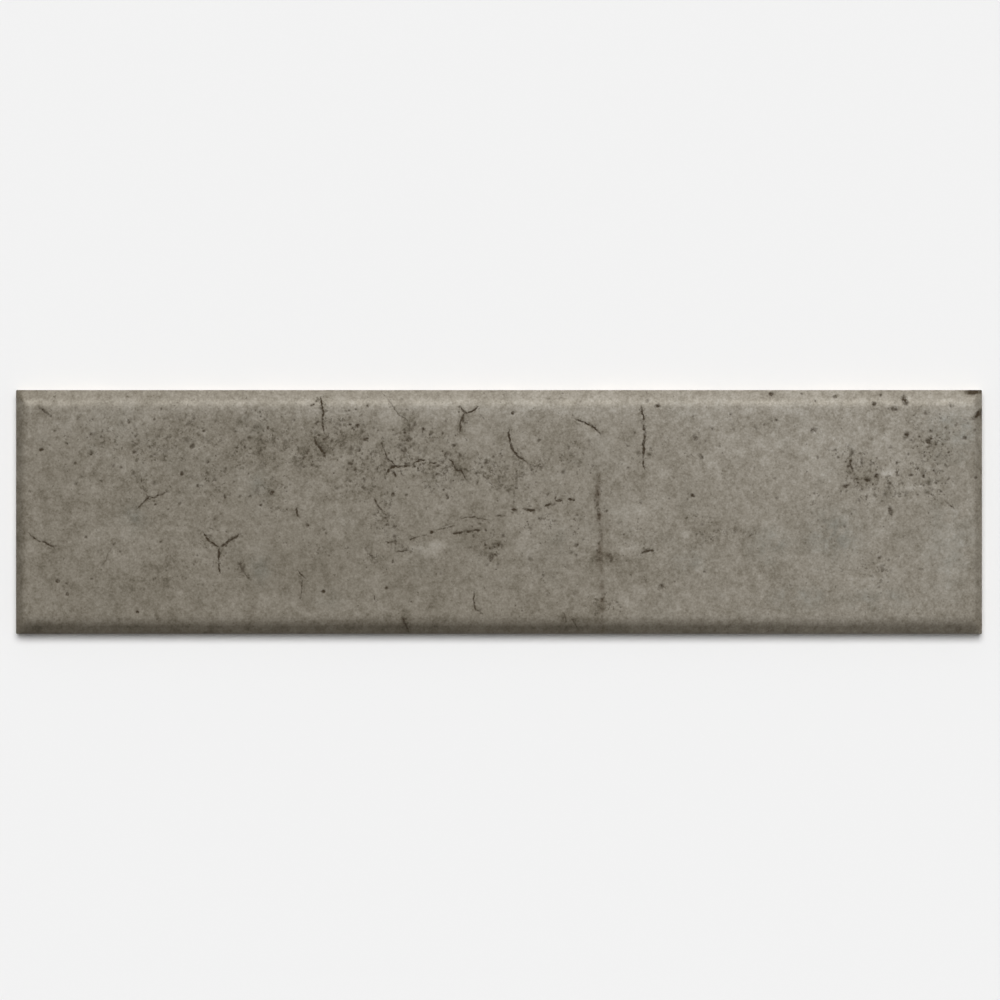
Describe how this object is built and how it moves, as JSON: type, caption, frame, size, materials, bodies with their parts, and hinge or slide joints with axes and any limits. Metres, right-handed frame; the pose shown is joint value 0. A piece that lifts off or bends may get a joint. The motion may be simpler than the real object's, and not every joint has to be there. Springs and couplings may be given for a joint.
{
  "type": "ceramic wall tile",
  "caption": "Long rectangular ceramic wall tile with a cushion edge, a cracked concrete-look glaze and a keyed back, lying face up.",
  "frame": {"origin": "middle of the back, on the plane of the ribs that the tile rests on", "axes": "+X along the length, to the right in the picture; +Y across the width, to the top of the picture; +Z out of the glazed face"},
  "size_m": [0.297, 0.075, 0.0085],
  "materials": {
    "glazed_body": "satin"
  },
  "bodies": {
    "root": {"tile": "glazed_body"}
  },
  "joints": []
}
